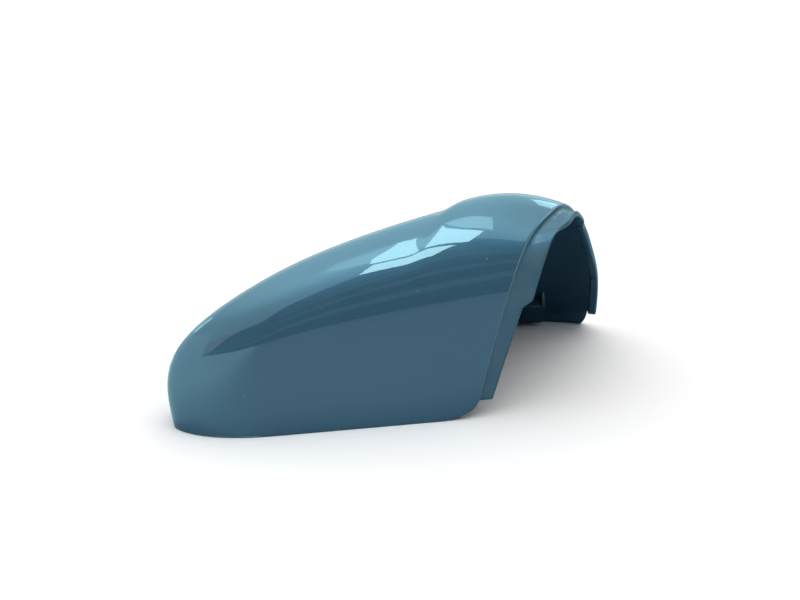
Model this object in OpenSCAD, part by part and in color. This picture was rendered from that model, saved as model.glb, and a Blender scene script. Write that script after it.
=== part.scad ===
// Wing mirror cover: one moulded shell that lies on the rim which meets the mirror housing.
// Length runs along +X from the outboard tip to the open arch at the inboard end, +Z is up.
// The functions below measure from the tip and from the near rim, which lies along Y = 0.
// The finished cover has its origin on the rim at the tip, in the middle of the wall.

/* [Shell] */
// Wall thickness of the moulding
wall = 2.5; // [2:0.1:3.5]
// How far the outboard tip lies behind the near rim
tip_y = 20.5; // [15:0.5:28]
// Length over which the near corner of the tip is rounded
corner_l = 51; // [42:1:70]
// Reach of the far rim behind the tip
far_w = 100; // [90:1:120]
// Distance from the tip at which the far rim is furthest out
far_l = 188; // [175:1:210]
// How far the far rim comes back in after that
far_in = 30; // [0:1:40]
// Length over which it comes back in that far
far_in_l = 60; // [45:1:75]
// How far the tip's wall leans out above its rim
tip_out = 5; // [0:0.5:7]
// Height at which it leans out that far
tip_out_z = 47; // [35:1:65]
// Length over which the lean dies away from the tip
tip_out_l = 41; // [30:1:60]
// Height that the crown rises to
crown_h = 116.5; // [95:0.5:130]
// Distance from the tip at which the crown is level
crown_l = 380; // [350:5:420]

/* [Flare at the inboard end] */
// Extra height of the raised crown before the arch
flare_h = 2.4; // [0:0.2:8]
// Distance from the arch at which the crown starts to rise
flare_l = 58.5; // [50:0.5:90]
// Distance from the arch at which the crown has fully risen
flare_top_l = 44; // [30:0.5:48]
// How far the raised crown falls again towards the arch
flare_fall = 13; // [0:0.1:14]

/* [Arch] */
// Length from the tip to the arch, along the near rim
arch_near = 136.5; // [125:0.5:150]
// How much further the arch reaches at the far rim
arch_slant = 88; // [75:1:105]
// How much further the arch reaches at the crown
arch_lean = 17.5; // [10:0.5:25]
// How far the arch bows out halfway across
arch_bow = 9.8; // [5:0.2:13]

/* [Flange around the arch] */
// Depth of the step from the painted face down to the flange, on the near and far walls
step_depth = 2; // [1:0.1:3]
// Depth of that step over the crown
step_depth_top = 2.4; // [1:0.1:4]
// Length of the step on the near wall
step_near = 1.2; // [0.8:0.1:2]
// Length of the step over the crown
step_top = 4.5; // [3:0.5:6]
// Width of the flange low on the near wall
flange_low = 6.8; // [5:0.1:9]
// Width of the flange just below its notch
flange_notch = 10.4; // [8:0.1:12]
// Width of the flange at its tab, above the notch
flange_tab = 14.3; // [12:0.1:16]
// Width of the flange over the crown
flange_top = 14; // [10:0.5:17]
// Width of the flange on the far wall
flange_far = 4.3; // [3:0.1:6]

/* [Rim] */
// How far the rim is cut up where the near wall meets the flange
rise_near = 8; // [4:0.5:12]
// Length of that cut along the near rim
rise_near_l = 18; // [10:1:30]
// How far the rim is cut up where the far wall meets the flange
rise_far = 9; // [4:0.5:12]
// Length of that cut along the far rim
rise_far_l = 3; // [2:0.5:8]

/* [Locating pegs] */
// Diameter of the pin at the end of each peg
pin_d = 5; // [4:0.5:6]
// Length of the pin below its shoulder
pin_l = 9; // [6:0.5:12]
// Diameter of the boss above the shoulder
boss_d = 10; // [8:0.5:12]
// Height of the shoulder above the rim
shoulder_z = 50; // [40:1:54]
// Thickness of the four webs that brace each boss
web_t = 1.8; // [1.2:0.1:2.4]

/* [Snap clips] */
// Width of each clip along the rim
clip_w = 12; // [8:1:16]
// Height of each clip from its tip to its root on the wall
clip_h = 14; // [12:1:20]
// Height of the clip's tip above the rim
clip_z = 7; // [4:0.5:10]
// Gap between the clip's tongue and the wall
clip_gap = 4; // [3:0.5:7]
// Thickness of the tongue
clip_t = 2; // [1.5:0.1:3]
// How far the hook stands out from the tongue
hook = 1.6; // [1:0.1:2.5]

/* [Ribs] */
// Thickness of the ribs inside the far flange
rib_t = 1.2; // [0.8:0.1:2]
// Height of those ribs above the inner face
rib_h = 1.5; // [1:0.1:3]

/* [Hidden] */
paint = "lightslategray";

// Rings along the shell, rings across the flange, and strips around the section
SHELL_ROWS = 30;
SHELL_STRIPS = 54;
CORE_ROWS = 20;
CORE_STRIPS = 36;

// Steps that close in on the place where the section reaches the height of the rim's cut
CUT_TRIES = 5;

// Control points of the section, as shares of its width and height: the near rim, two that
// hold the near wall upright, two that carry the crown over to the back, and the far rim
SECTION = [[0, 0], [-0.001, 0.338], [0.122, 1.344], [0.06, 1.324], [0.569, 0.835], [1, 0]];
BINOMIAL = [1, 5, 10, 10, 5, 1];

// Places around the section, from 0 at the near rim to 1 at the far rim
NOTCH_AT = 0.22;
TAB_END_AT = 0.33;
CROWN_AT = 0.45;
FAR_WALL_FROM = 0.36;
FAR_WALL_AT = 0.74;
FLARE_FROM = 0.275;
FLARE_TO = 0.565;

// Where on the flange the fall of the flare ends, as a share of its length from the top
FALL_END = 1.1;

// Stretches around the section over which the notch, the tab's end and the flare's end turn
NOTCH_SPREAD = 0.015;
TAB_END_SPREAD = 0.03;
FLARE_END_SPREAD = 0.25;

// Sharpness of the plan corner, the far rim and the crown line, at their start and end
CORNER_CURVE = [2.9, 1.54];
FAR_CURVE = [1.6, 2.2];
CROWN_CURVE = [1.4, 3.38];

// Lengths from the tip at which the pegs and the clips on either wall stand, and the share
// of the width from the near rim to the far rim at which the pegs stand
peg_xs = [85, 160];
PEG_SHARE = 0.4;
near_clip_xs = [45, 95];
far_clip_xs = [50, 100, 150, 196];

// Places around the section of the small ribs inside the far flange
flange_rib_ts = [0.72, 0.82, 0.9];

// A soft change from 0 to 1, with no kink at its ends
function ease(a) = let (c = max(0, min(1, a))) pow(c, 3) * (10 - 15 * c + 6 * c * c);

// A quarter of a rounded outline: it starts upright at 0 and is level at 1
function swell(q, curve) =
    let (c = max(0, min(1, q))) pow(1 - pow(1 - c, curve[0]), 1 / curve[1]);

// Bezier curve through the section at t, as shares of width and height
function section(t) =
    let (b = [for (k = [0:5]) BINOMIAL[k] * pow(t, k) * pow(1 - t, 5 - k)]) b * SECTION;

function near_y(x) = tip_y * (1 - swell(x / corner_l, CORNER_CURVE));
function far_y(x) =
    tip_y + far_w * swell(x / far_l, FAR_CURVE) - far_in * pow(max(0, x - far_l) / far_in_l, 2);
function height(x) = crown_h * swell(x / crown_l, CROWN_CURVE);

// Where the painted face ends at the arch
function arch_x(t) =
    let (c = section(t))
    arch_near + arch_slant * c[0] + arch_lean * c[1] + arch_bow * 4 * c[0] * (1 - c[0]);

// Plan position of a peg, at a fixed share of the width from near rim to far rim
function peg_place(x) = [x, near_y(x) + PEG_SHARE * (far_y(x) - near_y(x)), 0];

function flare(x, t) =
    let (d = arch_x(t) - x,
         up = ease((flare_l - d) / (flare_l - flare_top_l)),
         fall = pow(max(0, min(FALL_END, (flare_top_l - d) / flare_top_l)), 2),
         around = ease((t - FLARE_FROM) / (FLARE_TO - FLARE_FROM)) * ease((1 - t) / FLARE_END_SPREAD))
    (flare_h * up - flare_fall * fall) * around;

// How far the tip's wall leans out at height z
function tip_lean(x, z) =
    let (up = 1 - pow(1 - max(0, min(1, z / tip_out_z)), 2))
    tip_out * up * pow(max(0, 1 - x / tip_out_l), 2);

// Painted face at length x and place t around the section
function face(x, t) =
    let (c = section(t), n = near_y(x), z = height(x) * c[1] + flare(x, t))
    [x - tip_lean(x, z), n + (far_y(x) - n) * c[0], z];

// Outward direction of that face, from its slopes along x and around t
function outward(x, t) =
    let (dx = min(0.1, x / 20), t0 = max(0, t - 0.001), t1 = min(1, t + 0.001),
         n = cross(face(x + dx, t) - face(x - dx, t), face(x, t1) - face(x, t0)))
    n / norm(n);

// A point below the painted face; on the rim it keeps its height, so that the rim is flat
function below(x, t, depth, on_rim) =
    let (p = face(x, t), q = p - depth * outward(x, t)) on_rim ? [q[0], q[1], p[2]] : q;

// Width of the flange and length of the step down to it, which both narrow on the far wall
function far_wall(t) = ease((t - FAR_WALL_FROM) / (FAR_WALL_AT - FAR_WALL_FROM));
function flange_w(t) =
    flange_low + (flange_notch - flange_low) * min(1, t / NOTCH_AT)
    + (flange_tab - flange_notch) * ease((t - NOTCH_AT) / NOTCH_SPREAD + 0.5)
    + (flange_top - flange_tab) * ease((t - TAB_END_AT) / TAB_END_SPREAD + 0.5)
    + (flange_far - flange_top) * far_wall(t);
function over_crown(t) = ease((t - NOTCH_AT) / (CROWN_AT - NOTCH_AT)) - far_wall(t);
function step_l(t) = step_near + (step_top - step_near) * over_crown(t);
function step_deep(t) = step_depth + (step_depth_top - step_depth) * over_crown(t);

// Height of the rounded cut in the rim at distance d before the flange
function cut_up(d, l, h) = d >= l ? 0 : h * (1 - sqrt(1 - pow(1 - max(0, d) / l, 2)));

// How far around the section from the near or the far rim that share of its height is reached
function place_at(share, far, tries) =
    share <= 0 ? 0 : let (t = tries == 0 ? share : place_at(share, far, tries - 1))
        t * share / section(far ? 1 - t : t)[1];

// Ring positions: shares of the length to the arch, then shares of the step and of the flange
function ring_list(rows) = concat(
    [for (i = [1:rows]) [(1 - cos(180 * i / rows)) / 2, 0, 0]],
    [[1, 1 / 3, 0], [1, 2 / 3, 0], [1, 1, 0], [1, 1, 0.5], [1, 1, 1]]);
function ring_x(ring, t) =
    arch_x(t) * ring[0] + step_l(t) * ring[1] + (flange_w(t) - step_l(t)) * ring[2];

// One ring of points below the painted face, from the near rim over the crown to the far rim
function ring_points(ring, strips, depth) =
    let (xn = ring_x(ring, 0), xf = ring_x(ring, 1),
         cut_near = cut_up(arch_x(0) - xn, rise_near_l, rise_near),
         cut_far = cut_up(arch_x(1) - xf, rise_far_l, rise_far),
         lo = place_at(cut_near / height(xn), false, CUT_TRIES),
         hi = place_at(cut_far / height(xf), true, CUT_TRIES))
    [for (j = [0:strips])
        let (t = lo + (1 - hi - lo) * j / strips, x = ring_x(ring, t))
        below(x, t, depth + step_deep(t) * ease(ring[1]), j == 0 || j == strips)];

function skin(rows, strips, depth) =
    concat([[depth, tip_y, 0]],
           [for (ring = ring_list(rows)) each ring_points(ring, strips, depth)]);

// Triangles of a grid whose first ring closes on one point at the tip
function at(i, j, strips) = 1 + i * (strips + 1) + j;
function skin_faces(rings, strips) = concat(
    [for (j = [0:strips - 1]) [0, at(0, j + 1, strips), at(0, j, strips)]],
    [for (i = [0:rings - 2], j = [0:strips - 1]) each
        [[at(i, j, strips), at(i + 1, j + 1, strips), at(i + 1, j, strips)],
         [at(i, j, strips), at(i, j + 1, strips), at(i + 1, j + 1, strips)]]]);
function turned(faces) = [for (f = faces) [f[0], f[2], f[1]]];
function moved(faces, k) = [for (f = faces) [f[0] + k, f[1] + k, f[2] + k]];

// Two triangles for each step between two rows of points, one where the rows share a point
function strip_faces(a, b) = [for (k = [0:len(a) - 2]) each
    [for (f = [[a[k], b[k], b[k + 1]], [a[k], b[k + 1], a[k + 1]]])
        if (f[0] != f[1] && f[1] != f[2] && f[2] != f[0]) f]];

// The moulded wall: painted face, inner face, rim and arch edge
module shell() {
    rings = len(ring_list(SHELL_ROWS));
    outer = skin(SHELL_ROWS, SHELL_STRIPS, 0);
    inner = skin(SHELL_ROWS, SHELL_STRIPS, wall);
    k = len(outer);
    near_row = concat([0], [for (i = [0:rings - 1]) at(i, 0, SHELL_STRIPS)]);
    far_row = concat([0], [for (i = [0:rings - 1]) at(i, SHELL_STRIPS, SHELL_STRIPS)]);
    edge_row = [for (j = [0:SHELL_STRIPS]) at(rings - 1, j, SHELL_STRIPS)];
    faces = skin_faces(rings, SHELL_STRIPS);
    polyhedron(concat(outer, inner), concat(
        faces, moved(turned(faces), k),
        strip_faces([for (v = near_row) v + k], near_row),
        strip_faces(far_row, [for (v = far_row) v + k]),
        strip_faces([for (v = edge_row) v + k], edge_row)));
}

// The space inside the middle of the wall, which trims what stands on the inner face
module core() {
    rings = len(ring_list(CORE_ROWS));
    near_row = concat([0], [for (i = [0:rings - 1]) at(i, 0, CORE_STRIPS)]);
    far_row = concat([0], [for (i = [0:rings - 1]) at(i, CORE_STRIPS, CORE_STRIPS)]);
    half = floor(CORE_STRIPS / 2);
    mouth_near = [for (j = [0:half]) at(rings - 1, j, CORE_STRIPS)];
    mouth_far = [for (j = [0:half]) at(rings - 1, CORE_STRIPS - j, CORE_STRIPS)];
    polyhedron(skin(CORE_ROWS, CORE_STRIPS, wall / 2), concat(
        skin_faces(rings, CORE_STRIPS),
        strip_faces(far_row, near_row), strip_faces(mouth_far, mouth_near)));
}

// Stands its children on the inner face at length x and place t, turned so that
// their X runs along the wall, their Y points into the space and their Z follows the wall up
module on_wall(x, t, lean_t) {
    n = outward(x, lean_t);
    translate(below(x, t, wall, true)) rotate([-asin(n[2]), 0, atan2(n[0], -n[1])]) children();
}

// A round boss with a pin below its shoulder and four webs, hanging from the crown
module locating_peg(place) {
    chamfer = pin_d / 8;
    web_z = shoulder_z + pin_l / 2;
    translate(place) {
        translate([0, 0, shoulder_z]) cylinder(h = crown_h, d = boss_d, $fn = 48);
        translate([0, 0, shoulder_z - pin_l + chamfer])
            cylinder(h = pin_l, d = pin_d, $fn = 48);
        translate([0, 0, shoulder_z - pin_l])
            cylinder(h = chamfer, d1 = pin_d - 2 * chamfer, d2 = pin_d, $fn = 48);
        for (turn = [0, 90]) rotate(turn)
            translate([-boss_d, -web_t / 2, web_z]) cube([2 * boss_d, web_t, crown_h]);
    }
}

// A snap clip: a tongue that hangs from a shelf between two gussets, with a hook at its tip
module snap_clip() {
    root = clip_z + clip_h;
    reach = clip_gap + clip_t;
    rotate([90, 0, 90]) translate([0, 0, -clip_w / 2]) linear_extrude(clip_w)
        polygon([[-wall, root], [-wall, root - clip_t], [clip_gap, root - clip_t],
                 [clip_gap, clip_z + 2 * hook], [clip_gap - hook, clip_z + hook],
                 [clip_gap, clip_z], [reach, clip_z], [reach, root]]);
    for (side = [-1, 1]) translate([side * (clip_w - clip_t) / 2, 0, 0])
        rotate([90, 0, 90]) translate([0, 0, -clip_t / 2]) linear_extrude(clip_t)
            polygon([[-wall, root - clip_t / 2], [reach, root - clip_t / 2],
                     [reach, root], [-wall, root + reach]]);
}

// A small rib across the inside of the flange, at place t around it
module flange_rib(t) {
    x = arch_x(t) + step_l(t);
    n = outward(x, t);
    translate(below(x, t, step_deep(t) + wall / 2, false))
        rotate([atan2(-n[1], n[2]), 0, 0])
            translate([0, -rib_t / 2, -wall / 2 - rib_h])
                cube([flange_w(t) - step_l(t), rib_t, wall / 2 + rib_h]);
}

// The whole cover as it comes out of the mould
module mirror_cover() {
    color(paint) translate([-wall / 2, -tip_y, 0]) union() {
        shell();
        intersection() {
            core();
            union() {
                for (x = peg_xs) locating_peg(peg_place(x));
                for (x = near_clip_xs) on_wall(x, 0, 0.04) snap_clip();
                for (x = far_clip_xs) on_wall(x, 1, 0.96) snap_clip();
                for (t = flange_rib_ts) flange_rib(t);
            }
        }
    }
}

mirror_cover();
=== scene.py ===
"""Looks of a car's wing mirror cover: a painted moulded shell with its clips, pegs and ribs.

The shell repeats the formulas of the part's source with a finer grid and rounded edges.
Sizes are in millimetres until a mesh is made, and metres from there on.
"""

import bmesh
import bpy
import numpy as np
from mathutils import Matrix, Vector


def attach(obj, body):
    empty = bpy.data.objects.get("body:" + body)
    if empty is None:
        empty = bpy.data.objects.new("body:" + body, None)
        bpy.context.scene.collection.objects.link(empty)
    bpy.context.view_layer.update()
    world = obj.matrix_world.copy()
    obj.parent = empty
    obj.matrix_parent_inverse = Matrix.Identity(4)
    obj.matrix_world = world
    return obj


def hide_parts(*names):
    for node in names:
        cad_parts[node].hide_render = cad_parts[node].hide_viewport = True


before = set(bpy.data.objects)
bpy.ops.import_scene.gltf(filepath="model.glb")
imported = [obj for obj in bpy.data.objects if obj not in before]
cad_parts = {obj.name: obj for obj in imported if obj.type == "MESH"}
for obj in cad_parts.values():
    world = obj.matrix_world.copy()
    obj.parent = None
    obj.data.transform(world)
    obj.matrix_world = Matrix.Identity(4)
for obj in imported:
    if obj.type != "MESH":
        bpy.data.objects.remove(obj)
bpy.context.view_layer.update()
MM = 0.001

# Shell, as in the part's source
WALL = 2.5
TIP_Y = 20.5
CORNER_L = 51.0
FAR_W = 100.0
FAR_L = 188.0
FAR_IN, FAR_IN_L = 30.0, 60.0
TIP_OUT, TIP_OUT_Z, TIP_OUT_L = 5.0, 47.0, 41.0
CROWN_H = 116.5
CROWN_L = 380.0
CORNER_CURVE = (2.9, 1.54)
FAR_CURVE = (1.6, 2.2)
CROWN_CURVE = (1.4, 3.38)
SECTION = np.array([[0, 0], [-0.001, 0.338], [0.122, 1.344], [0.06, 1.324], [0.569, 0.835], [1, 0]])
BINOMIAL = (1, 5, 10, 10, 5, 1)

# Flare, arch and flange
FLARE_H = 2.4
FLARE_L = 58.5
FLARE_TOP_L = 44.0
FLARE_FALL = 13.0
FLARE_FROM, FLARE_TO = 0.275, 0.565
FLARE_END_SPREAD = 0.25
FALL_END = 1.1
ARCH_NEAR = 136.5
ARCH_SLANT = 88.0
ARCH_LEAN = 17.5
ARCH_BOW = 9.8
STEP_DEPTH = 2.0
STEP_DEPTH_TOP = 2.4
STEP_NEAR = 1.2
STEP_TOP = 4.5
FLANGE_LOW = 6.8
FLANGE_NOTCH = 10.4
FLANGE_TAB = 14.3
FLANGE_TOP = 14.0
FLANGE_FAR = 4.3
NOTCH_AT, TAB_END_AT, CROWN_AT = 0.22, 0.33, 0.45
NOTCH_SPREAD, TAB_END_SPREAD = 0.015, 0.03
FAR_WALL_FROM, FAR_WALL_AT = 0.36, 0.74

# Cuts in the rim
RISE_NEAR, RISE_NEAR_L = 8.0, 18.0
RISE_FAR, RISE_FAR_L = 9.0, 3.0

# Pegs, clips and ribs
PIN_D, PIN_L = 5.0, 9.0
PIN_CHAMFER, PEG_FILLET = PIN_D / 8, 0.4
BOSS_D = 10.0
SHOULDER_Z = 50.0
WEB_T = 1.8
PEG_SHARE = 0.4
PEG_XS = (85.0, 160.0)
CLIP_W, CLIP_H, CLIP_Z = 12.0, 14.0, 7.0
CLIP_GAP, CLIP_T, HOOK = 4.0, 2.0, 1.6
NEAR_CLIP_XS = (45.0, 95.0)
FAR_CLIP_XS = (50.0, 100.0, 150.0, 196.0)
NEAR_CLIP_LEAN, FAR_CLIP_LEAN = 0.04, 0.96
RIB_T, RIB_H = 1.2, 1.5
RIB_TS = (0.72, 0.82, 0.9)
RIB_GAP = 0.6

# Ejector-pin marks: places (x, t), and a profile of pairs (in from the radius, raised)
EJECTOR_R = 3.0
EJECTORS = ((28, 0.4), (62, 0.12), (62, 0.66), (110, 0.14),
            (112, 0.4), (118, 0.7), (148, 0.6), (175, 0.78))
EJECTOR_PROFILE = ((0.0, -0.8), (0.0, 0.22), (0.15, 0.3), (0.45, 0.3), (0.6, 0.18))

# Fineness of the grids, slopes and searches; merging; size of the rounded edges
SHELL_ROWS, STEP_ROWS, FLANGE_ROWS = 150, 10, 8
STRIPS = 220
PEG_POINTS, WEB_POINTS, EJECTOR_POINTS = 64, 25, 48
SLOPE_X, SLOPE_X_PARTS, SLOPE_T = 0.1, 20, 0.001
PLACE_ROUNDS, HALVINGS = 6, 30
CROWN_FROM = 0.25
TINY = 1e-9
MERGE_L = 1e-6
EDGE_R, EDGE_STEPS = 0.5, 4
SMALL_R, SMALL_STEPS, SMALL_TURN = 0.3, 2, 40.0
ORIGIN = np.array([WALL / 2, TIP_Y, 0.0])

# Camera, as the photograph was taken
CAMERA_TURN = -12.35
CAMERA_RISE = 20.04
CAMERA_AWAY = 0.994
FOCAL_PX, FRAME_W = 2000.0, 800
SENSOR_W = 36.0
LOOK_AT = Vector((0.11937, 0.06802, 0.02833))

# Colours, written as they render
PAINT_DEEP = (0.044, 0.100, 0.149)
PAINT_LIGHT = (0.052, 0.113, 0.166)
PAINT_HAZE = (0.10, 0.14, 0.165)
# Painted highlight: pale colour of the line where light catches the step's crisp edge
PAINT_STEP_HIGHLIGHT = (0.17, 0.30, 0.38)
PRIMER = (0.040, 0.090, 0.125)
DUST = (0.55, 0.60, 0.62)
PLASTIC_DEEP = (0.006, 0.027, 0.050)
PLASTIC_LIGHT = (0.010, 0.039, 0.068)
OVERSPRAY = (0.028, 0.080, 0.118)
FLOOR_SEEN = (0.95, 0.95, 0.95)
FLOOR_REFLECTED = (0.50, 0.74, 0.86)
BLACK, WHITE = (0.0, 0.0, 0.0), (1.0, 1.0, 1.0)

# How the lacquered paint and the bare plastic shine, and how far their marks show
PAINT_ROUGH, PAINT_FLAKE, PAINT_SPECULAR = 0.3, 0.22, 0.1
WIPED_ROUGH, FLANGE_ROUGH = 0.05, 0.1
COAT_ROUGH, COAT_IOR = 0.015, 1.5
FLANGE_THIN, DUST_THIN = 0.6, 0.35
THIN_L, THIN_SHARE, THINNEST = 11.0, 0.45, 0.1
SPECK_SMALL, SPECK_LARGE, SPECK_SOFT = 0.06, 0.2, 0.05
BROAD_WAVES = 0.3
CLOUD_SHOWS, FLAKE_SHOWS = 0.6, 0.4
HAZE_LOW, HAZE_HIGH = 0.3, 0.7
# Where the painted highlight on the step's edge lies, as shares of the flange mask, and how
# strongly it shows
STEP_HIGHLIGHT_START, STEP_HIGHLIGHT_END = (0.0, 0.05), (0.25, 0.1)
STEP_HIGHLIGHT_SHOWS, PRIMER_SHOWS, PAINT_DUST_SHOWS = 0.85, 0.6, 0.45
PLASTIC_ROUGH_DEEP, PLASTIC_ROUGH_LIGHT, PLASTIC_SPECULAR = 0.42, 0.5, 0.2
OVERSPRAY_SHOWS, OVERSPRAY_SMOOTH, PLASTIC_DUST_SHOWS = 0.75, 0.1, 0.3

# Studio, in metres: one wide ceiling lamp and dim fill over a floor that fades to white
LAMP_XY, LAMP_Z, LAMP_W = (0.1, 0.1), 1.3, 3.2
LAMP_POWER = 46.0
FILL = 0.22
FLOOR_R, FLOOR_ROUGH = 6.0, 0.9
FLOOR_FADE_FROM, FLOOR_FADE_TO = 0.5, 1.8

# Ceiling; like the drapes, sheets and windows below, it is seen in the gloss alone
COOL = (0.55, 0.93, 1.0)
CEILING_Z, CEILING_R, CEILING_POINTS = 1.28, 7.0, 113
CEILING_GLOW, CEILING_FADE, CEILING_FADE_L = 3.8, 0.55, 2.4
CEILING_X, CEILING_X_SPAN = 0.1, 0.75
CEILING_Y, CEILING_Y_SPAN = -0.5, 1.3

# Drapes: angles in degrees, from -Y towards +X
DRAPE_R, DRAPE_POINTS = 1.6, 217
DRAPE_FROM, DRAPE_TO = -45.0, 225.0
DRAPE_LOW, DRAPE_HIGH, DRAPE_BACK = 0.31, 0.45, 0.12
LOW_TURN = 37.0
HIGH_FROM, HIGH_TURN = -4.0, 20.0
BACK_FROM, BACK_TURN = 60.0, 40.0
DRAPE_STRIPES = ((0.13, 0.20), (0.33, 0.38), (0.56, 0.60), (0.97, 1.0))
DRAPE_COLOUR, DRAPE_GLOW, STRIPE_GLOW = (0.55, 0.8, 1.0), 0.02, 0.42

# Sheet and panel on the tip's side
SHEET_GLOW, FLOOR_GLOW, SHEET_FADE_L = 2.1, 0.95, 0.12
SHEET_X, SHEET_Y, SHEET_Z, SHEET_POINTS = -1.6, 1.5, 0.0005, 325
SHEET_END, FAR_SHEET_END, SHEETS_MEET = 0.03, -0.006, -0.022
PANEL_X, PANEL_YS, PANEL_ZS = -1.6, (-1.9, 1.2), (0.0, 0.9)
PANEL_GLOW = 2.2

# Windows: outlines behind the camera, as pairs (x, z) in millimetres, and more at the sides
WINDOW_Y, PANE_STEP = -0.75, 0.002
WINDOW_GLOW, BLIND_GLOW, SIDE_GLOW = 15.0, 7.5, 5.4
LOW_PANE = ((150, 340), (200, 310), (235, 290), (260, 340), (272, 352), (205, 398), (150, 445))
HIGH_PANE = ((150, 470), (207, 422), (282, 374), (295, 378), (352, 540), (293, 600), (225, 760),
             (165, 1000), (110, 1150), (125, 850), (126, 600), (140, 490))
SIDE_PANE = ((150, 500), (135, 1150), (-20, 1020), (25, 700), (95, 570))
BLIND = ((385, 575), (540, 1050), (400, 1240), (130, 1240), (180, 1150), (240, 860), (305, 640))
SIDE_WINDOW_X, SIDE_WINDOW_GLOW = 1.15, 6.5
SIDE_WINDOW_YS, SIDE_WINDOW_ZS = ((0.55, 0.87), (0.90, 1.22)), (0.72, 1.2)


def ease(a):
    """Soft change from 0 to 1 by a polynomial of degree five, with no kink at its ends."""
    c = np.clip(a, 0, 1)
    return c**3 * (10 - 15 * c + 6 * c * c)


def unit(v):
    """Vectors brought to a length of one."""
    return v / np.linalg.norm(v, axis=-1, keepdims=True)


def swell(q, curve):
    """Quarter of a rounded outline: one less a power of the rest, then a root."""
    c = np.clip(q, 0, 1)
    return (1 - (1 - c) ** curve[0]) ** (1 / curve[1])


def section(t):
    """Bezier curve of degree five through the section, as shares of width and height."""
    t = np.asarray(t, float)[..., None]
    return sum(BINOMIAL[k] * t**k * (1 - t) ** (5 - k) * SECTION[k] for k in range(6))


def near_y(x):
    """Near rim: upright at the tip, then straight along Y = 0."""
    return TIP_Y * (1 - swell(x / CORNER_L, CORNER_CURVE))


def far_y(x):
    """Far rim: swells out from the tip and comes back in as a parabola."""
    back = np.maximum(0, x - FAR_L) / FAR_IN_L
    return TIP_Y + FAR_W * swell(x / FAR_L, FAR_CURVE) - FAR_IN * back**2


def arch_x(t):
    """Length at which the painted face ends, slanted by the section's width and height."""
    c = section(t)
    wide, high = c[..., 0], c[..., 1]
    return ARCH_NEAR + ARCH_SLANT * wide + ARCH_LEAN * high + ARCH_BOW * 4 * wide * (1 - wide)


def flare(x, t):
    """Extra height before the arch: eased up over a length, then falling as a parabola."""
    d = arch_x(t) - x
    up = ease((FLARE_L - d) / (FLARE_L - FLARE_TOP_L))
    fall = np.clip((FLARE_TOP_L - d) / FLARE_TOP_L, 0, FALL_END) ** 2
    around = ease((t - FLARE_FROM) / (FLARE_TO - FLARE_FROM)) * ease((1 - t) / FLARE_END_SPREAD)
    return (FLARE_H * up - FLARE_FALL * fall) * around


def tip_out(x, z):
    """How far the tip's wall leans out: a parabola up to its full height, dying away along x."""
    up = 1 - (1 - np.clip(z / TIP_OUT_Z, 0, 1)) ** 2
    return TIP_OUT * up * np.clip(1 - x / TIP_OUT_L, 0, 1) ** 2


def face(x, t):
    """Painted face: the section scaled to the width and height at x, plus the flare."""
    c = section(t)
    near = near_y(x)
    y = near + (far_y(x) - near) * c[..., 0]
    z = CROWN_H * swell(x / CROWN_L, CROWN_CURVE) * c[..., 1] + flare(x, t)
    return np.stack(np.broadcast_arrays(x - tip_out(x, z), y, z), -1)


def outward(x, t):
    """Unit cross product of the slopes along x and around t."""
    dx = np.minimum(SLOPE_X, x / SLOPE_X_PARTS)
    t0, t1 = np.maximum(0, t - SLOPE_T), np.minimum(1, t + SLOPE_T)
    return unit(np.cross(face(x + dx, t) - face(x - dx, t), face(x, t1) - face(x, t0)))


def below(x, t, depth):
    """Point at a depth under the painted face, measured square to it."""
    return face(x, t) - np.asarray(depth)[..., None] * outward(x, t)


def far_wall(t):
    """0 over the crown and 1 on the far wall."""
    return ease((t - FAR_WALL_FROM) / (FAR_WALL_AT - FAR_WALL_FROM))


def flange_w(t):
    """Width of the flange: it widens up to the notch, steps out there, and narrows at the back."""
    w = FLANGE_LOW + (FLANGE_NOTCH - FLANGE_LOW) * np.clip(t / NOTCH_AT, 0, 1)
    w = w + (FLANGE_TAB - FLANGE_NOTCH) * ease((t - NOTCH_AT) / NOTCH_SPREAD + 0.5)
    w = w + (FLANGE_TOP - FLANGE_TAB) * ease((t - TAB_END_AT) / TAB_END_SPREAD + 0.5)
    return w + (FLANGE_FAR - FLANGE_TOP) * far_wall(t)


def over_crown(t):
    """1 over the crown and 0 on both walls."""
    return ease((t - NOTCH_AT) / (CROWN_AT - NOTCH_AT)) - far_wall(t)


def step_l(t):
    """Length of the step: crisp on both walls and drawn out over the crown."""
    return STEP_NEAR + (STEP_TOP - STEP_NEAR) * over_crown(t)


def step_deep(t):
    """Depth of the step, which is greater over the crown."""
    return STEP_DEPTH + (STEP_DEPTH_TOP - STEP_DEPTH) * over_crown(t)


def cut_up(d, length, rise):
    """Height of the rounded cut in the rim: a quarter ellipse that ends at the flange."""
    q = np.clip(1 - d / length, 0, 1)
    return rise * (1 - np.sqrt(1 - q * q))


def place_at(share, far):
    """How far around the section from a rim that share of its height is reached, by iteration."""
    least = np.maximum(share, TINY)
    t = least
    for _ in range(PLACE_ROUNDS):
        t = t * least / section(1 - t if far else t)[..., 1]
    return np.where(share > 0, t, 0.0)


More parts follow.
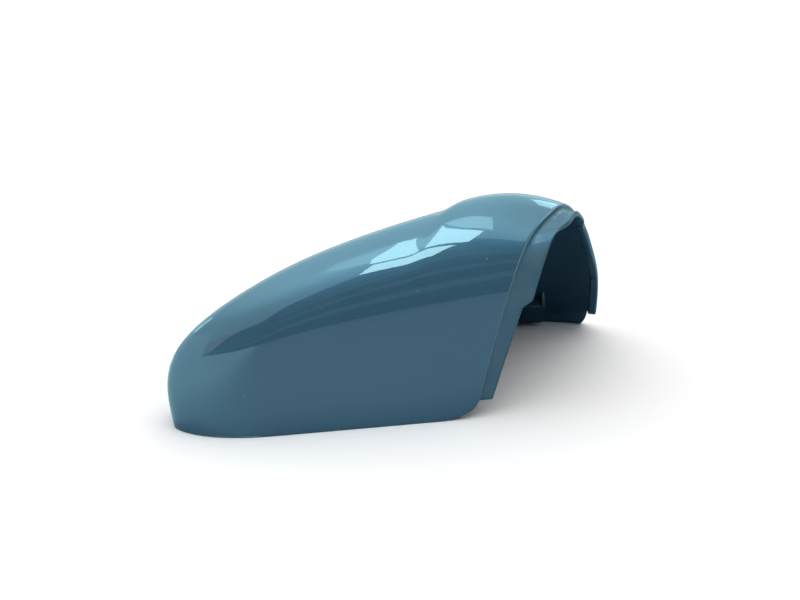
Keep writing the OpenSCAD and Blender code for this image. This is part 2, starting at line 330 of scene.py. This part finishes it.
def grid_places():
    """Lengths x, places t and shares of the step's depth for every ring and strip.

    The step's profile is a quarter ellipse that turns down, and one that turns out again.
    """
    along = (1 - np.cos(np.pi * np.arange(1, SHELL_ROWS + 1) / SHELL_ROWS)) / 2
    turn = np.pi * np.arange(1, STEP_ROWS + 1) / STEP_ROWS
    step = np.where(turn <= np.pi / 2, np.sin(turn) / 2, 1 - np.sin(turn) / 2)
    down = (1 - np.cos(turn)) / 2
    flange = np.arange(1, FLANGE_ROWS + 1) / FLANGE_ROWS
    a = np.concatenate([along, np.ones(STEP_ROWS + FLANGE_ROWS)])[:, None]
    b = np.concatenate([np.zeros(SHELL_ROWS), step, np.ones(FLANGE_ROWS)])[:, None]
    drop = np.concatenate([np.zeros(SHELL_ROWS), down, np.ones(FLANGE_ROWS)])[:, None]
    c = np.concatenate([np.zeros(SHELL_ROWS + STEP_ROWS), flange])[:, None]

    def ring_x(t):
        """Length x of every ring at the places t."""
        return arch_x(t) * a + step_l(t) * b + (flange_w(t) - step_l(t)) * c

    near, far = ring_x(np.zeros(1)), ring_x(np.ones(1))
    crown_near = CROWN_H * swell(near / CROWN_L, CROWN_CURVE)
    crown_far = CROWN_H * swell(far / CROWN_L, CROWN_CURVE)
    low = place_at(cut_up(arch_x(0.0) - near, RISE_NEAR_L, RISE_NEAR) / crown_near, False)
    high = place_at(cut_up(arch_x(1.0) - far, RISE_FAR_L, RISE_FAR) / crown_far, True)
    t = low + (1 - low - high) * np.linspace(0, 1, STRIPS + 1)
    return ring_x(t), t, drop


def grid_quads(rows, cols, start=0):
    """Corner numbers of the quads of a grid stored row by row."""
    i, j = np.meshgrid(np.arange(rows - 1), np.arange(cols - 1), indexing="ij")
    k = (start + i * cols + j).ravel()
    return np.stack([k, k + 1, k + cols + 1, k + cols], 1)


def new_object(name, data):
    """Object of a mesh, a lamp or a camera, linked to the scene."""
    made = bpy.data.objects.new(name, data)
    bpy.context.scene.collection.objects.link(made)
    return made


def mesh_object(name, points, quads, materials, slots=None, values=None):
    """Mesh of quads in metres, with its doubles merged and its faces turned outwards."""
    mesh = bpy.data.meshes.new(name)
    mesh.vertices.add(len(points))
    mesh.vertices.foreach_set("co", ((points - ORIGIN) * MM).ravel())
    mesh.loops.add(quads.size)
    mesh.loops.foreach_set("vertex_index", quads.ravel())
    mesh.polygons.add(len(quads))
    mesh.polygons.foreach_set("loop_start", np.arange(0, quads.size, 4))
    if slots is not None:
        mesh.polygons.foreach_set("material_index", slots)
    for key, numbers in (values or {}).items():
        mesh.attributes.new(key, "FLOAT", "POINT").data.foreach_set("value", numbers)
    mesh.update(calc_edges=True)
    work = bmesh.new()
    work.from_mesh(mesh)
    bmesh.ops.remove_doubles(work, verts=work.verts, dist=MERGE_L)
    bmesh.ops.recalc_face_normals(work, faces=work.faces)
    for f in work.faces:
        f.smooth = True
    work.to_mesh(mesh)
    work.free()
    for material in materials:
        mesh.materials.append(material)
    return new_object(name, mesh)


def edge_of(a):
    """Values along the near rim, the arch and the far rim, from the tip back to the tip."""
    return np.concatenate([a[:, 0], a[-1, 1:-1], a[::-1, -1]])


def edge_inward(a):
    """Directions at that edge that lead away from it within the face."""
    up_near = unit(a[:, 1] - a[:, 0] + TINY)
    up_far = unit(a[:, -2] - a[:, -1] + TINY)
    from_arch = unit(a[-2] - a[-1])
    up_near[-1] += from_arch[0]
    up_far[-1] += from_arch[-1]
    up_near[0] = up_far[0] = (0, 0, 1)
    return np.concatenate([up_near, from_arch[1:-1], up_far[::-1]])


def rim_band(outer, inner, back):
    """Band round the shell's edge: a quarter circle, the flat edge and a quarter circle."""
    across = unit(inner - outer)
    turn = np.linspace(0, np.pi / 2, EDGE_STEPS + 1)[:, None, None]
    round_out = outer + EDGE_R * (back + across - np.cos(turn) * across - np.sin(turn) * back)
    turn = turn[::-1]
    round_in = inner + EDGE_R * (back - across + np.cos(turn) * across - np.sin(turn) * back)
    return np.concatenate([round_out, round_in])


def cover_shell(paint, plastic):
    """Painted face and inner face over one grid, joined by the rounded band of the edge."""
    x, t, drop = grid_places()
    drop = np.broadcast_to(drop, t.shape)
    skins = []
    for wall in (0.0, WALL):
        pole = np.broadcast_to([wall, TIP_Y, 0.0], (1, STRIPS + 1, 3))
        skin = below(x, t, step_deep(t) * drop + wall)
        skin[:, (0, -1), 2] = face(x, t)[:, (0, -1), 2]
        skins.append(np.concatenate([pole, skin]))
    outer, inner = skins
    rows = outer.shape[0]

    band = rim_band(edge_of(outer), edge_of(inner), edge_inward(outer))
    for skin, row in ((outer, band[0]), (inner, band[-1])):
        skin[:, 0] = row[:rows]
        skin[-1, 1:-1] = row[rows:-rows]
        skin[:, -1] = row[-rows:][::-1]
    count = rows * (STRIPS + 1)
    quads = [grid_quads(rows, STRIPS + 1), grid_quads(rows, STRIPS + 1, count),
             grid_quads(band.shape[0], band.shape[1], 2 * count)]
    slots = np.concatenate([np.full(len(q), s) for q, s in zip(quads, (0, 1, 0))])
    points = np.concatenate([outer.reshape(-1, 3), inner.reshape(-1, 3), band.reshape(-1, 3)])
    to_arch = np.linalg.norm(outer - outer[-1:], axis=-1)
    to_rim = np.minimum(outer[..., 2] - outer[:, :1, 2], outer[..., 2] - outer[:, -1:, 2])
    from_edge = np.minimum(to_arch, np.maximum(to_rim, 0)).ravel()
    on_flange = np.concatenate([np.zeros((1, STRIPS + 1)), drop]).ravel()
    edge_flange = edge_of(on_flange.reshape(rows, -1))
    values = {"edge_mm": np.concatenate([from_edge, from_edge, np.zeros(band.size // 3)]),
              "flange": np.concatenate([on_flange, on_flange, np.tile(edge_flange, len(band))])}
    return mesh_object("cover_shell", points, np.concatenate(quads), [paint, plastic],
                       slots, values)


def ceiling_z(x, y):
    """Height of the inner face over a plan point, by halving the range of t."""
    low, high = np.full(np.shape(x), CROWN_FROM), np.ones(np.shape(x))
    wall = np.full(np.shape(x), WALL)
    for _ in range(HALVINGS):
        middle = (low + high) / 2
        beyond = below(x, middle, wall)[..., 1] > y
        high, low = np.where(beyond, middle, high), np.where(beyond, low, middle)
    return below(x, low, wall)[..., 2]


def closed_tube(rings):
    """Quads round rings that each close on themselves; both ends shrink to their middles."""
    first = np.broadcast_to(rings[0].mean(0), rings[:1].shape)
    last = np.broadcast_to(rings[-1].mean(0), rings[:1].shape)
    points = np.concatenate([first, rings, last])
    points = np.concatenate([points, points[:, :1]], 1)
    return points.reshape(-1, 3), grid_quads(points.shape[0], points.shape[1])


def locating_peg(name, x, material):
    """Turned pin, shoulder and boss, whose top follows the inner face, with two crossed webs."""
    y = near_y(x) + PEG_SHARE * (far_y(x) - near_y(x))
    tip, pin_r, boss_r = SHOULDER_Z - PIN_L, PIN_D / 2, BOSS_D / 2
    profile = (
        (pin_r - PIN_CHAMFER, tip), (pin_r, tip + PIN_CHAMFER),
        (pin_r, SHOULDER_Z - PEG_FILLET), (pin_r + PEG_FILLET, SHOULDER_Z),
        (boss_r - PEG_FILLET, SHOULDER_Z), (boss_r, SHOULDER_Z + PEG_FILLET),
        (boss_r, SHOULDER_Z + PIN_L))
    around = np.linspace(0, 2 * np.pi, PEG_POINTS, endpoint=False)
    rings = [np.column_stack([x + r * np.cos(around), y + r * np.sin(around),
                              np.full(PEG_POINTS, z)]) for r, z in profile]
    top = rings[-1].copy()
    top[:, 2] = ceiling_z(top[:, 0], top[:, 1]) + WALL / 2
    points, quads = closed_tube(np.array(rings + [top]))
    peg = mesh_object(name, points, quads, [material])
    webs = [peg_web(f"{name}_web_{k}", x, y, turn, material) for k, turn in enumerate((0, 90))]
    return [peg] + webs


def peg_web(name, x, y, turn, material):
    """Upright plate through the boss; its top follows the inner face."""
    a = np.radians(turn)
    r = np.linspace(-BOSS_D, BOSS_D, WEB_POINTS)
    px, py = x + r * np.cos(a), y + r * np.sin(a)
    top = ceiling_z(px, py) + WALL / 2
    foot = np.minimum(SHOULDER_Z + PIN_L / 2, top - WALL)
    rows = []
    for side, z in ((-1, foot), (1, foot), (1, top), (-1, top)):
        shift = side * WEB_T / 2
        rows.append(np.column_stack([px - shift * np.sin(a), py + shift * np.cos(a), z]))
    points, quads = closed_tube(np.array(rows).transpose(1, 0, 2))
    return mesh_object(name, points, quads, [material])


def wall_axes(x, t, lean_t):
    """Foot on the inner face and three axes: along the wall, into the space, up the wall."""
    foot = below(np.float64(x), np.float64(t), WALL)
    foot[2] = 0
    n = outward(np.float64(x), np.float64(lean_t))
    along = unit(np.array([-n[1], n[0], 0.0]))
    up = np.cross(along, -n)
    return foot, along, -n, up


def extruded(outline, width, place, turn):
    """Outline of points (into the space, up), carried across a width and set on the wall."""
    foot, along, into, up = turn
    ring = np.array([foot + p[0] * into + p[1] * up for p in outline])
    shift = np.array([-width / 2, width / 2])[:, None, None] + place
    return closed_tube(ring + shift * along)


def snap_clip(name, x, t, lean_t, material):
    """Hooked tongue hung from a shelf, with a gusset at each side."""
    turn = wall_axes(x, t, lean_t)
    root, reach, deep = CLIP_Z + CLIP_H, CLIP_GAP + CLIP_T, -WALL / 2
    tongue = [[deep, root], [deep, root - CLIP_T], [CLIP_GAP, root - CLIP_T],
              [CLIP_GAP, CLIP_Z + 2 * HOOK], [CLIP_GAP - HOOK, CLIP_Z + HOOK],
              [CLIP_GAP, CLIP_Z], [reach, CLIP_Z], [reach, root]]
    gusset = [[deep, root - CLIP_T / 2], [reach, root - CLIP_T / 2], [reach, root],
              [deep, root + reach]]
    parts = [extruded(tongue, CLIP_W, 0.0, turn)]
    for side in (-1, 1):
        parts.append(extruded(gusset, CLIP_T, side * (CLIP_W - CLIP_T) / 2, turn))
    pieces = []
    for k, (points, quads) in enumerate(parts):
        piece = mesh_object(f"{name}_{k}", points, quads, [material])
        round_edges(piece)
        pieces.append(piece)
    return pieces


def flange_rib(name, t, material):
    """Small bar across the inside of the far flange."""
    t = np.float64(t)
    x = arch_x(t) + step_l(t)
    n = outward(x, t)
    start = below(x, t, step_deep(t) + WALL / 2)
    along = np.array([1.0, 0, 0])
    side = unit(np.cross(n, along))
    length = flange_w(t) - step_l(t) - RIB_GAP
    high = WALL / 2 + RIB_H
    corners = [start + u * along + v * side - w * n
               for u in (0, length) for v, w in ((-RIB_T / 2, 0), (RIB_T / 2, 0),
                                                 (RIB_T / 2, high), (-RIB_T / 2, high))]
    points, quads = closed_tube(np.array(corners).reshape(2, 4, 3))
    piece = mesh_object(name, points, quads, [material])
    round_edges(piece)
    return [piece]


def ejector_mark(name, x, t, material):
    """Shallow disc that an ejector pin left on the inner face, with a slightly raised ring."""
    middle = below(np.float64(x), np.float64(t), WALL)
    n = outward(np.float64(x), np.float64(t))
    side = unit(np.cross(n, [1.0, 0, 0]))
    around = np.linspace(0, 2 * np.pi, EJECTOR_POINTS, endpoint=False)[:, None]
    ring = np.cos(around) * side + np.sin(around) * np.cross(n, side)
    rings = np.array([middle + (EJECTOR_R - inset) * ring - raised * n
                      for inset, raised in EJECTOR_PROFILE])
    points, quads = closed_tube(rings)
    return [mesh_object(name, points, quads, [material])]


def round_edges(piece):
    """Small rounded corners, as moulded edges have."""
    bevel = piece.modifiers.new("rounded", "BEVEL")
    bevel.width = SMALL_R * MM
    bevel.segments = SMALL_STEPS
    bevel.limit_method = "ANGLE"
    bevel.angle_limit = np.radians(SMALL_TURN)


def feed(tree, socket, value):
    """Input that is linked to another node's socket, or set to a number or a colour."""
    if isinstance(value, bpy.types.NodeSocket):
        tree.links.new(value, socket)
    else:
        socket.default_value = (*value, 1) if isinstance(value, tuple) else value


def fill(tree, node, inputs):
    """Inputs of a node, fed by name."""
    for key, value in inputs.items():
        feed(tree, node.inputs[key], value)


def add(tree, kind, inputs=None, **settings):
    """New node with its settings and its inputs."""
    made = tree.nodes.new(kind)
    for key, value in settings.items():
        setattr(made, key, value)
    fill(tree, made, inputs or {})
    return made


def new_group(name, inputs, outputs):
    """Empty shader group with number inputs at their usual values, and number outputs."""
    group = bpy.data.node_groups.new(name, "ShaderNodeTree")
    for key, value in inputs.items():
        socket = group.interface.new_socket(name=key, in_out="INPUT", socket_type="NodeSocketFloat")
        socket.default_value = value
    for key in outputs:
        group.interface.new_socket(name=key, in_out="OUTPUT", socket_type="NodeSocketFloat")
    return group, add(group, "NodeGroupInput"), add(group, "NodeGroupOutput")


def placed(tree, group, **values):
    """One use of a shader group, with its own values."""
    return add(tree, "ShaderNodeGroup", values, node_tree=group)


def mixed(tree, factor, first, second):
    """Blend of two colours or sockets by a mask."""
    made = add(tree, "ShaderNodeMix", data_type="RGBA")
    for number, value in ((0, factor), (6, first), (7, second)):
        feed(tree, made.inputs[number], value)
    return made.outputs[2]


def ramped(tree, value, low, high, start=0.0, end=1.0, **settings):
    """Numbers from low to high carried over to start to end, and held outside that."""
    made = add(tree, "ShaderNodeMapRange", {"Value": value, "From Min": low, "From Max": high,
                                            "To Min": start, "To Max": end}, **settings)
    return made.outputs[0]


def combined(tree, operation, first, second):
    """Sum, product or the like of two numbers or sockets."""
    made = add(tree, "ShaderNodeMath", operation=operation)
    feed(tree, made.inputs[0], first)
    feed(tree, made.inputs[1], second)
    return made.outputs[0]


def times(tree, first, second):
    """Product of two numbers or sockets."""
    return combined(tree, "MULTIPLY", first, second)


def noise(tree, place, **values):
    """Noise from 0 to 1 over a place."""
    return add(tree, "ShaderNodeTexNoise", {"Vector": place, **values}).outputs[0]


def own_place(tree):
    """Place in the piece's own space."""
    return add(tree, "ShaderNodeTexCoord").outputs["Object"]


def carried(tree, name):
    """Number that the mesh carries at its points."""
    return add(tree, "ShaderNodeAttribute", attribute_name=name).outputs["Fac"]


def dust_group():
    """Sparse specks: cells of a Voronoi pattern, near their middles, in a share of the cells."""
    group, source, result = new_group("fine_dust", {"Scale": 400.0, "Share": 0.05}, ["Mask"])
    cells = add(group, "ShaderNodeTexVoronoi", {
        "Vector": own_place(group), "Scale": source.outputs["Scale"], "Randomness": 1.0})
    chance = add(group, "ShaderNodeSeparateColor", {"Color": cells.outputs["Color"]})
    chosen = combined(group, "LESS_THAN", chance.outputs[0], source.outputs["Share"])
    size = ramped(group, chance.outputs[1], 0.0, 1.0, SPECK_SMALL, SPECK_LARGE)
    close = combined(group, "SUBTRACT", size, cells.outputs["Distance"])
    speck = times(group, ramped(group, close, 0.0, SPECK_SOFT), chosen)
    fill(group, result, {"Mask": speck})
    return group


def waves_group():
    """Orange peel: broad soft waves of the paint film with finer ones on them."""
    group, source, result = new_group("paint_waves", {"Scale": 260.0}, ["Height"])
    place, scale = own_place(group), source.outputs["Scale"]
    fine = noise(group, place, Scale=scale, Detail=1.0, Roughness=0.4)
    broad = noise(group, place, Scale=times(group, scale, BROAD_WAVES), Detail=0.0)
    fill(group, result, {"Height": combined(group, "ADD", fine, broad)})
    return group


def edge_group():
    """Band along the edges: 1 at the edge and 0 at its width, with a ragged border."""
    group, source, result = new_group("edge_band", {"Width": 4.0, "Ragged": 1.5}, ["Mask"])
    border = noise(group, own_place(group), Scale=170.0, Detail=4.0, Roughness=0.65)
    ragged = times(group, ramped(group, border, 0.25, 0.75, -1.0, 1.0), source.outputs["Ragged"])
    away = combined(group, "ADD", carried(group, "edge_mm"), ragged)
    share = combined(group, "DIVIDE", away, source.outputs["Width"])
    soft = ramped(group, share, 0.0, 1.0, 1.0, 0.0, interpolation_type="SMOOTHSTEP")
    fill(group, result, {"Mask": soft})
    return group


def grain_group():
    """Moulded surface: fine even pits for the height, and broad flow marks for the tone."""
    group, source, result = new_group("moulded_grain", {"Scale": 1800.0}, ["Height", "Tone"])
    place = own_place(group)
    pits = noise(group, place, Scale=source.outputs["Scale"], Detail=2.0, Roughness=0.6)
    flow = noise(group, place, Scale=22.0, Detail=3.0, Distortion=1.2)
    fill(group, result, {"Height": pits, "Tone": ramped(group, flow, 0.3, 0.7)})
    return group


def new_material(name):
    """Material with its node tree and its shader."""
    material = bpy.data.materials.new(name)
    material.use_nodes = True
    tree = material.node_tree
    return material, tree, tree.nodes["Principled BSDF"]


def paint_colour(groups, tree, place, flange, dust):
    """Cloudy paint with flake, hazed on the flange, with a painted highlight along the step's crisp
    edge, worn at the edges.
    """
    edge = placed(tree, groups["edge"], Width=1.3, Ragged=0.35).outputs["Mask"]
    cloud = noise(tree, place, Scale=16.0, Detail=2.0)
    flake = add(tree, "ShaderNodeTexVoronoi", {"Vector": place, "Scale": 2600.0})
    sparkle = add(tree, "ShaderNodeSeparateColor", {"Color": flake.outputs["Color"]})
    tone = combined(tree, "ADD", ramped(tree, cloud, 0.3, 0.7, 0.0, CLOUD_SHOWS),
                    ramped(tree, sparkle.outputs[0], 0.0, 1.0, 0.0, FLAKE_SHOWS))
    smudge = noise(tree, place, Scale=90.0, Detail=3.0, Distortion=0.6)
    haze = times(tree, flange, ramped(tree, smudge, 0.4, 0.75, HAZE_LOW, HAZE_HIGH))
    # Painted highlight: a pale line over the start of the step, on its crisp top edge
    step_highlight = times(tree, ramped(tree, flange, *STEP_HIGHLIGHT_START), ramped(tree, flange, *STEP_HIGHLIGHT_END))
    colour = mixed(tree, tone, PAINT_DEEP, PAINT_LIGHT)
    colour = mixed(tree, haze, colour, PAINT_HAZE)
    colour = mixed(tree, times(tree, step_highlight, STEP_HIGHLIGHT_SHOWS), colour, PAINT_STEP_HIGHLIGHT)
    colour = mixed(tree, times(tree, edge, PRIMER_SHOWS), colour, PRIMER)
    return mixed(tree, times(tree, dust, PAINT_DUST_SHOWS), colour, DUST)


def lacquer_weight(tree, flange, dust):
    """Lacquer that is thinner on the flange, under dust and towards the edges."""
    weight = combined(tree, "SUBTRACT", 1.0, times(tree, flange, FLANGE_THIN))
    weight = combined(tree, "SUBTRACT", weight, times(tree, dust, DUST_THIN))
    thinner = ramped(tree, carried(tree, "edge_mm"), 0.0, THIN_L, THIN_SHARE, 0.0)
    return combined(tree, "MAXIMUM", combined(tree, "SUBTRACT", weight, thinner), THINNEST)


def gloss_paint(groups):
    """Blue-grey paint under clear lacquer, with orange peel, and duller on the flange."""
    material, tree, shader = new_material("gloss_blue_grey_paint")
    place, flange = own_place(tree), carried(tree, "flange")
    dust = placed(tree, groups["dust"], Scale=520.0, Share=0.006).outputs["Mask"]
    wiped = noise(tree, place, Scale=30.0, Detail=5.0, Distortion=2.0)
    rough = combined(tree, "ADD", times(tree, flange, FLANGE_ROUGH),
                     ramped(tree, wiped, 0.35, 0.75, PAINT_ROUGH, PAINT_ROUGH + WIPED_ROUGH))
    peel = placed(tree, groups["waves"], Scale=300.0).outputs["Height"]
    bump = add(tree, "ShaderNodeBump", {"Strength": 0.25, "Distance": 0.00004, "Height": peel})
    fill(tree, shader, {
        "Base Color": paint_colour(groups, tree, place, flange, dust), "Roughness": rough,
        "Metallic": PAINT_FLAKE, "Specular IOR Level": PAINT_SPECULAR,
        "Coat Weight": lacquer_weight(tree, flange, dust), "Coat Roughness": COAT_ROUGH,
        "Coat IOR": COAT_IOR, "Normal": bump.outputs[0]})
    return material


def bare_plastic(groups, name, overspray):
    """Dark moulded plastic, with paint blown a little way in from the edges."""
    material, tree, shader = new_material(name)
    grain = placed(tree, groups["grain"], Scale=1500.0).outputs
    dust = placed(tree, groups["dust"], Scale=520.0, Share=0.02).outputs["Mask"]
    colour = mixed(tree, grain["Tone"], PLASTIC_DEEP, PLASTIC_LIGHT)
    rough = ramped(tree, grain["Tone"], 0.0, 1.0, PLASTIC_ROUGH_DEEP, PLASTIC_ROUGH_LIGHT)
    if overspray:
        mist = placed(tree, groups["edge"], Width=9.0, Ragged=3.0).outputs["Mask"]
        colour = mixed(tree, times(tree, mist, OVERSPRAY_SHOWS), colour, OVERSPRAY)
        rough = combined(tree, "SUBTRACT", rough, times(tree, mist, OVERSPRAY_SMOOTH))
    colour = mixed(tree, times(tree, dust, PLASTIC_DUST_SHOWS), colour, DUST)
    bump = add(tree, "ShaderNodeBump", {"Strength": 0.3, "Distance": 0.00005,
                                        "Height": grain["Height"]})
    fill(tree, shader, {"Base Color": colour, "Roughness": rough,
                        "Specular IOR Level": PLASTIC_SPECULAR, "Normal": bump.outputs[0]})
    return material


def floor():
    """Pale table that the cover lies on.

    It is white to the camera and fades into a glowing white far from the cover. To all other
    rays it is a cooler grey that does not glow.
    """
    r = FLOOR_R
    mesh = bpy.data.meshes.new("pale_floor")
    mesh.from_pydata([(-r, -r, 0), (r, -r, 0), (r, r, 0), (-r, r, 0)], [], [(0, 1, 2, 3)])
    plane = new_object("pale_floor", mesh)
    material, tree, shader = new_material("pale_floor")
    seen = add(tree, "ShaderNodeLightPath").outputs["Is Camera Ray"]
    away = add(tree, "ShaderNodeVectorMath", {"Vector": own_place(tree)}, operation="LENGTH")
    far = ramped(tree, away.outputs["Value"], FLOOR_FADE_FROM, FLOOR_FADE_TO)
    fill(tree, shader, {
        "Base Color": mixed(tree, seen, FLOOR_REFLECTED, FLOOR_SEEN), "Roughness": FLOOR_ROUGH,
        "Specular IOR Level": 0.0, "Emission Strength": 1.0,
        "Emission Color": mixed(tree, times(tree, far, seen), BLACK, WHITE)})
    mesh.materials.append(material)


def only_reflected(thing):
    """Seen in the cover's gloss alone, so that it neither shows nor dims the studio."""
    thing.visible_camera = False
    thing.visible_diffuse = False
    thing.visible_shadow = False
    thing.visible_transmission = False


def glowing(name, colour, strength):
    """Plain glowing material for what is only reflected."""
    material, tree, _ = new_material(name)
    tree.nodes.clear()
    glow = add(tree, "ShaderNodeEmission", {"Color": colour, "Strength": strength})
    add(tree, "ShaderNodeOutputMaterial", {"Surface": glow.outputs[0]})
    return material


def glowing_sheet(name, points, quads, glows, slots=None):
    """Sheet of the studio that is only reflected, with one glow for each of its materials."""
    mesh = bpy.data.meshes.new(name)
    mesh.from_pydata(points, [], quads)
    for k, (colour, strength) in enumerate(glows):
        mesh.materials.append(glowing(f"{name}_{k}", colour, strength))
    if slots is not None:
        mesh.polygons.foreach_set("material_index", slots)
    sheet = new_object(name, mesh)
    only_reflected(sheet)
    return sheet


def graded_sheet(name, x, y, z, shares, strength):
    """Level glowing sheet over a grid, whose glow changes by a share at every point."""
    points = np.stack([x, y, np.full_like(x, z)], -1).reshape(-1, 3)
    sheet = glowing_sheet(name, points.tolist(), grid_quads(*x.shape).tolist(),
                          [(COOL, strength)])
    sheet.data.attributes.new("glow", "FLOAT", "POINT").data.foreach_set("value", shares.ravel())
    tree = sheet.data.materials[0].node_tree
    fill(tree, tree.nodes["Emission"], {"Strength": times(tree, carried(tree, "glow"), strength)})


def upright_sheet(name, x, ys, zs, glow):
    """Upright glowing rectangle that faces along X."""
    points = [(x, ys[0], zs[0]), (x, ys[1], zs[0]), (x, ys[1], zs[1]), (x, ys[0], zs[1])]
    glowing_sheet(name, points, [(0, 1, 2, 3)], [(COOL, glow)])


def drapes():
    """Dark drapes round the table, with paler stripes at set shares of their height.

    The top edge is DRAPE_LOW ease((around - DRAPE_FROM) / LOW_TURN) + DRAPE_HIGH
    ease((around - HIGH_FROM) / HIGH_TURN). From BACK_FROM on it comes down to DRAPE_BACK, by
    ease((around - BACK_FROM) / BACK_TURN).
    """
    around = np.linspace(DRAPE_FROM, DRAPE_TO, DRAPE_POINTS)
    height = (DRAPE_LOW * ease((around - DRAPE_FROM) / LOW_TURN)
              + DRAPE_HIGH * ease((around - HIGH_FROM) / HIGH_TURN))
    height = height + (DRAPE_BACK - height) * ease((around - BACK_FROM) / BACK_TURN)
    a = np.radians(around)
    shares = np.array([0.0] + [v for stripe in DRAPE_STRIPES for v in stripe])
    ring = np.stack([np.sin(a), -np.cos(a), 0 * a], -1) * DRAPE_R
    points = ring + (shares[:, None] * height)[..., None] * np.array([0, 0, 1.0])
    quads = grid_quads(len(shares), len(around))
    slots = np.repeat(np.arange(len(shares) - 1) % 2, len(around) - 1)
    glowing_sheet("dark_drapes", points.reshape(-1, 3).tolist(), quads.tolist(),
                  [(DRAPE_COLOUR, DRAPE_GLOW), (COOL, STRIPE_GLOW)], slots)


def ceiling():
    """Cool white ceiling over the whole studio, dimmer to the sides and behind.

    Its glow is 1 - CEILING_FADE ease(d / CEILING_FADE_L), where d is the length of
    ((x - CEILING_X) / CEILING_X_SPAN, (y - CEILING_Y) / CEILING_Y_SPAN).
    """
    row = np.linspace(-CEILING_R, CEILING_R, CEILING_POINTS)
    x, y = np.meshgrid(row, row)
    d = np.hypot((x - CEILING_X) / CEILING_X_SPAN, (y - CEILING_Y) / CEILING_Y_SPAN)
    shares = 1 - CEILING_FADE * ease(d / CEILING_FADE_L)
    graded_sheet("cool_ceiling", x, y, CEILING_Z, shares, CEILING_GLOW)


def tip_side():
    """White sheet and upright white panel on the tip's side.

    The sheet's glow falls to that of the floor with ease((SHEET_END - x) / SHEET_FADE_L). It
    is in two parts, which leave out the place that the cover stands on.
    """
    floor_share = FLOOR_GLOW / SHEET_GLOW
    for name, end, sides in (("near_sheet", SHEET_END, (-SHEET_Y, SHEETS_MEET)),
                             ("far_sheet", FAR_SHEET_END, (SHEETS_MEET, SHEET_Y))):
        x, y = np.meshgrid(np.linspace(SHEET_X, end, SHEET_POINTS), sides)
        shares = floor_share + (1 - floor_share) * ease((SHEET_END - x) / SHEET_FADE_L)
        graded_sheet(name, x, y, SHEET_Z, shares, SHEET_GLOW)
    upright_sheet("white_panel", PANEL_X, PANEL_YS, PANEL_ZS, PANEL_GLOW)


def window():
    """Bright windows.

    Behind the camera are two panes with a bar between, a dimmer pane beside them and a paler
    blind above, each a little behind the one before. Two upright panes are at each side.
    """
    for k, (name, outline, glow) in enumerate((
            ("low_pane", LOW_PANE, WINDOW_GLOW), ("high_pane", HIGH_PANE, WINDOW_GLOW),
            ("side_pane", SIDE_PANE, SIDE_GLOW), ("blind", BLIND, BLIND_GLOW))):
        points = [(x * MM, WINDOW_Y - PANE_STEP * k, z * MM) for x, z in outline]
        glowing_sheet(name, points, [tuple(range(len(points)))], [(COOL, glow)])
    for side in (-1, 1):
        for ys in SIDE_WINDOW_YS:
            upright_sheet(f"side_window_{side}_{ys[0]}", side * SIDE_WINDOW_X, ys,
                          SIDE_WINDOW_ZS, SIDE_WINDOW_GLOW)


def studio():
    """White surroundings for the camera and the gloss, dim fill, and one large ceiling lamp."""
    world = bpy.data.worlds.new("studio")
    bpy.context.scene.world = world
    world.use_nodes = True
    tree = world.node_tree
    path = add(tree, "ShaderNodeLightPath").outputs
    seen = combined(tree, "MAXIMUM", path["Is Camera Ray"], path["Is Glossy Ray"])
    seen = combined(tree, "MAXIMUM", seen, path["Is Transmission Ray"])
    fill(tree, tree.nodes["Background"],
         {"Color": WHITE, "Strength": ramped(tree, seen, 0.0, 1.0, FILL, 1.0)})
    data = bpy.data.lights.new("ceiling_lamp", "AREA")
    data.shape = "SQUARE"
    data.size = LAMP_W
    data.energy = LAMP_POWER
    lamp = new_object("ceiling_lamp", data)
    lamp.location = (*LAMP_XY, LAMP_Z)
    lamp.visible_glossy = False


def camera():
    """Camera at the photograph's angle, aimed so that the cover fills the same place."""
    turn, rise = np.radians(CAMERA_TURN), np.radians(CAMERA_RISE)
    back = Vector((np.sin(turn) * np.cos(rise), -np.cos(turn) * np.cos(rise), np.sin(rise)))
    data = bpy.data.cameras.new("camera")
    data.sensor_width = SENSOR_W
    data.lens = SENSOR_W * FOCAL_PX / FRAME_W
    eye = new_object("camera", data)
    eye.location = LOOK_AT + back * CAMERA_AWAY
    eye.rotation_euler = (-back).to_track_quat("-Z", "Y").to_euler()
    bpy.context.scene.camera = eye


def build():
    """Shell, pegs, clips, ribs and ejector-pin marks, which all ride on the one body."""
    groups = {"dust": dust_group(), "waves": waves_group(), "edge": edge_group(),
              "grain": grain_group()}
    paint = gloss_paint(groups)
    inside = bare_plastic(groups, "inner_plastic", True)
    plastic = bare_plastic(groups, "fitting_plastic", False)
    shell = cover_shell(paint, inside)
    inner = []
    for k, x in enumerate(PEG_XS):
        inner += locating_peg(f"peg_{k}", np.float64(x), plastic)
    for k, x in enumerate(NEAR_CLIP_XS):
        inner += snap_clip(f"near_clip_{k}", x, 0.0, NEAR_CLIP_LEAN, plastic)
    for k, x in enumerate(FAR_CLIP_XS):
        inner += snap_clip(f"far_clip_{k}", x, 1.0, FAR_CLIP_LEAN, plastic)
    for k, t in enumerate(RIB_TS):
        inner += flange_rib(f"flange_rib_{k}", t, plastic)
    for k, (x, t) in enumerate(EJECTORS):
        inner += ejector_mark(f"ejector_mark_{k}", x, t, inside)
    for piece in [shell] + inner:
        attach(piece, "root")
    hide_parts("mirror_cover")


build()
floor()
drapes()
ceiling()
tip_side()
window()
studio()
camera()
bpy.context.scene.view_settings.view_transform = "Standard"
